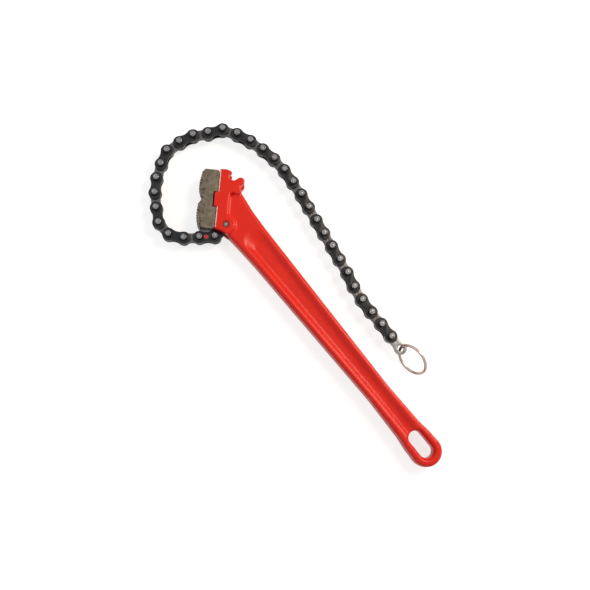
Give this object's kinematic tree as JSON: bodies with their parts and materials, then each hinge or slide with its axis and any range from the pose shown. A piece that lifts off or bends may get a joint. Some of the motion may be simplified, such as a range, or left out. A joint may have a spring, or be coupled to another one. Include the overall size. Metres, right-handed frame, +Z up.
{
  "type": "chain wrench",
  "caption": "Chain pipe wrench: a forged handle with twin horns and a hang hole, a reversible toothed jaw, and a hinged leaf chain that ends in a pull ring.",
  "frame": {"origin": "on the flat underside of the head, on the middle line of the handle, under the web between the horns and the anchor pin", "axes": "+X along the handle to its hang hole, +Y to the side of the horns and the free chain, +Z up out of the side that shows, along the chain pins"},
  "size_m": [0.4267, 0.1503, 0.0324],
  "materials": {
    "handle_enamel": "glossy red enamel on a forging",
    "jaw_steel": "bare hardened steel, mottled",
    "screw_steel": "black oxide",
    "pin_steel": "turned, bright",
    "black_plate": "black oxide, satin, with bright pin ends",
    "plain_plate": "plain steel, satin",
    "ring_nickel": "nickel plated wire"
  },
  "bodies": {
    "handle": {"handle": "handle_enamel", "jaw": "jaw_steel", "jaw_screw": "screw_steel", "anchor_pin": "pin_steel"},
    "link_00": {"inner_plate_00_low": "plain_plate", "inner_plate_00_top": "plain_plate"},
    "link_01": {"outer_link_01": "black_plate"},
    "link_02": {"inner_plate_02_low": "plain_plate", "inner_plate_02_top": "plain_plate"},
    "link_03": {"outer_link_03": "black_plate"},
    "link_04": {"inner_plate_04_low": "plain_plate", "inner_plate_04_top": "plain_plate"},
    "link_05": {"outer_link_05": "black_plate"},
    "link_06": {"inner_plate_06_low": "plain_plate", "inner_plate_06_top": "plain_plate"},
    "link_07": {"outer_link_07": "black_plate"},
    "link_08": {"inner_plate_08_low": "plain_plate", "inner_plate_08_top": "plain_plate"},
    "link_09": {"outer_link_09": "black_plate"},
    "link_10": {"inner_plate_10_low": "plain_plate", "inner_plate_10_top": "plain_plate"},
    "link_11": {"outer_link_11": "black_plate"},
    "link_12": {"inner_plate_12_low": "plain_plate", "inner_plate_12_top": "plain_plate"},
    "link_13": {"outer_link_13": "black_plate"},
    "link_14": {"inner_plate_14_low": "plain_plate", "inner_plate_14_top": "plain_plate"},
    "link_15": {"outer_link_15": "black_plate"},
    "link_16": {"inner_plate_16_low": "plain_plate", "inner_plate_16_top": "plain_plate"},
    "link_17": {"outer_link_17": "black_plate"},
    "link_18": {"inner_plate_18_low": "plain_plate", "inner_plate_18_top": "plain_plate"},
    "link_19": {"outer_link_19": "black_plate"},
    "link_20": {"inner_plate_20_low": "plain_plate", "inner_plate_20_top": "plain_plate"},
    "link_21": {"outer_link_21": "black_plate"},
    "link_22": {"inner_plate_22_low": "plain_plate", "inner_plate_22_top": "plain_plate"},
    "link_23": {"outer_link_23": "black_plate"},
    "link_24": {"inner_plate_24_low": "plain_plate", "inner_plate_24_top": "plain_plate"},
    "link_25": {"outer_link_25": "black_plate"},
    "link_26": {"inner_plate_26_low": "plain_plate", "inner_plate_26_top": "plain_plate"},
    "link_27": {"outer_link_27": "black_plate"},
    "link_28": {"inner_plate_28_low": "plain_plate", "inner_plate_28_top": "plain_plate"},
    "link_29": {"outer_link_29": "black_plate"},
    "link_30": {"inner_plate_30_low": "plain_plate", "inner_plate_30_top": "plain_plate"},
    "link_31": {"outer_link_31": "black_plate"},
    "link_32": {"end_plate_low": "plain_plate", "end_plate_top": "plain_plate"},
    "ring": {"pull_ring": "ring_nickel"}
  },
  "joints": [
    {"name": "anchor_hinge", "type": "hinge", "parent": "handle", "child": "link_00", "pos_m": [0.02199, -0.0141, 0.0122], "axis": [0, 0, 1], "range_deg": [0, 24]},
    {"name": "chain_hinge_01", "type": "hinge", "parent": "link_00", "child": "link_01", "pos_m": [0.02364, -0.02989, 0.0122], "axis": [0, 0, -1], "range_deg": [-45, 4]},
    {"name": "chain_hinge_02", "type": "hinge", "parent": "link_01", "child": "link_02", "pos_m": [0.01454, -0.04289, 0.0122], "axis": [0, 0, 1], "range_deg": [-4, 45]},
    {"name": "chain_hinge_03", "type": "hinge", "parent": "link_02", "child": "link_03", "pos_m": [0.00543, -0.0559, 0.0122], "axis": [0, 0, -1], "range_deg": [-45, 4]},
    {"name": "chain_hinge_04", "type": "hinge", "parent": "link_03", "child": "link_04", "pos_m": [-0.00708, -0.06567, 0.0122], "axis": [0, 0, 1], "range_deg": [-4, 45]},
    {"name": "chain_hinge_05", "type": "hinge", "parent": "link_04", "child": "link_05", "pos_m": [-0.02294, -0.06623, 0.0122], "axis": [0, 0, -1], "range_deg": [-45, 4]},
    {"name": "chain_hinge_06", "type": "hinge", "parent": "link_05", "child": "link_06", "pos_m": [-0.03696, -0.05877, 0.0122], "axis": [0, 0, 1], "range_deg": [-4, 45]},
    {"name": "chain_hinge_07", "type": "hinge", "parent": "link_06", "child": "link_07", "pos_m": [-0.05042, -0.05036, 0.0122], "axis": [0, 0, -1], "range_deg": [-45, 4]},
    {"name": "chain_hinge_08", "type": "hinge", "parent": "link_07", "child": "link_08", "pos_m": [-0.06203, -0.03953, 0.0122], "axis": [0, 0, 1], "range_deg": [-4, 45]},
    {"name": "chain_hinge_09", "type": "hinge", "parent": "link_08", "child": "link_09", "pos_m": [-0.07136, -0.02669, 0.0122], "axis": [0, 0, -1], "range_deg": [-45, 4]},
    {"name": "chain_hinge_10", "type": "hinge", "parent": "link_09", "child": "link_10", "pos_m": [-0.0793, -0.01294, 0.0122], "axis": [0, 0, 1], "range_deg": [-4, 45]},
    {"name": "chain_hinge_11", "type": "hinge", "parent": "link_10", "child": "link_11", "pos_m": [-0.07902, 0.00293, 0.0122], "axis": [0, 0, -1], "range_deg": [-45, 4]},
    {"name": "chain_hinge_12", "type": "hinge", "parent": "link_11", "child": "link_12", "pos_m": [-0.07654, 0.01861, 0.0122], "axis": [0, 0, 1], "range_deg": [-4, 45]},
    {"name": "chain_hinge_13", "type": "hinge", "parent": "link_12", "child": "link_13", "pos_m": [-0.06909, 0.03263, 0.0122], "axis": [0, 0, -1], "range_deg": [-45, 4]},
    {"name": "chain_hinge_14", "type": "hinge", "parent": "link_13", "child": "link_14", "pos_m": [-0.06314, 0.04735, 0.0122], "axis": [0, 0, 1], "range_deg": [-4, 45]},
    {"name": "chain_hinge_15", "type": "hinge", "parent": "link_14", "child": "link_15", "pos_m": [-0.04998, 0.05622, 0.0122], "axis": [0, 0, -1], "range_deg": [-45, 4]},
    {"name": "chain_hinge_16", "type": "hinge", "parent": "link_15", "child": "link_16", "pos_m": [-0.03548, 0.06268, 0.0122], "axis": [0, 0, 1], "range_deg": [-4, 45]},
    {"name": "chain_hinge_17", "type": "hinge", "parent": "link_16", "child": "link_17", "pos_m": [-0.0203, 0.06732, 0.0122], "axis": [0, 0, -1], "range_deg": [-45, 4]},
    {"name": "chain_hinge_18", "type": "hinge", "parent": "link_17", "child": "link_18", "pos_m": [-0.00471, 0.07035, 0.0122], "axis": [0, 0, 1], "range_deg": [-4, 45]},
    {"name": "chain_hinge_19", "type": "hinge", "parent": "link_18", "child": "link_19", "pos_m": [0.01114, 0.07118, 0.0122], "axis": [0, 0, -1], "range_deg": [-45, 5]},
    {"name": "chain_hinge_20", "type": "hinge", "parent": "link_19", "child": "link_20", "pos_m": [0.02698, 0.07007, 0.0122], "axis": [0, 0, 1], "range_deg": [-5, 45]},
    {"name": "chain_hinge_21", "type": "hinge", "parent": "link_20", "child": "link_21", "pos_m": [0.04279, 0.06869, 0.0122], "axis": [0, 0, -1], "range_deg": [-45, 6]},
    {"name": "chain_hinge_22", "type": "hinge", "parent": "link_21", "child": "link_22", "pos_m": [0.05847, 0.06621, 0.0122], "axis": [0, 0, 1], "range_deg": [-6, 45]},
    {"name": "chain_hinge_23", "type": "hinge", "parent": "link_22", "child": "link_23", "pos_m": [0.07415, 0.06372, 0.0122], "axis": [0, 0, -1], "range_deg": [-45, 8]},
    {"name": "chain_hinge_24", "type": "hinge", "parent": "link_23", "child": "link_24", "pos_m": [0.08983, 0.06124, 0.0122], "axis": [0, 0, 1], "range_deg": [-8, 45]},
    {"name": "chain_hinge_25", "type": "hinge", "parent": "link_24", "child": "link_25", "pos_m": [0.10555, 0.05903, 0.0122], "axis": [0, 0, -1], "range_deg": [-45, 10]},
    {"name": "chain_hinge_26", "type": "hinge", "parent": "link_25", "child": "link_26", "pos_m": [0.12123, 0.05655, 0.0122], "axis": [0, 0, 1], "range_deg": [-10, 45]},
    {"name": "chain_hinge_27", "type": "hinge", "parent": "link_26", "child": "link_27", "pos_m": [0.13691, 0.05406, 0.0122], "axis": [0, 0, -1], "range_deg": [-45, 14]},
    {"name": "chain_hinge_28", "type": "hinge", "parent": "link_27", "child": "link_28", "pos_m": [0.15231, 0.05022, 0.0122], "axis": [0, 0, 1], "range_deg": [-14, 45]},
    {"name": "chain_hinge_29", "type": "hinge", "parent": "link_28", "child": "link_29", "pos_m": [0.16803, 0.04801, 0.0122], "axis": [0, 0, -1], "range_deg": [-45, 18]},
    {"name": "chain_hinge_30", "type": "hinge", "parent": "link_29", "child": "link_30", "pos_m": [0.1839, 0.04746, 0.0122], "axis": [0, 0, 1], "range_deg": [-22, 45]},
    {"name": "chain_hinge_31", "type": "hinge", "parent": "link_30", "child": "link_31", "pos_m": [0.19977, 0.04774, 0.0122], "axis": [0, 0, -1], "range_deg": [-45, 30]},
    {"name": "chain_hinge_32", "type": "hinge", "parent": "link_31", "child": "link_32", "pos_m": [0.21565, 0.04746, 0.0122], "axis": [0, 0, -1], "range_deg": [-45, 40]},
    {"name": "ring_hinge", "type": "hinge", "parent": "link_32", "child": "ring", "pos_m": [0.23152, 0.04774, 0.0122], "axis": [0, 0, -1], "range_deg": [-60, 45]}
  ]
}
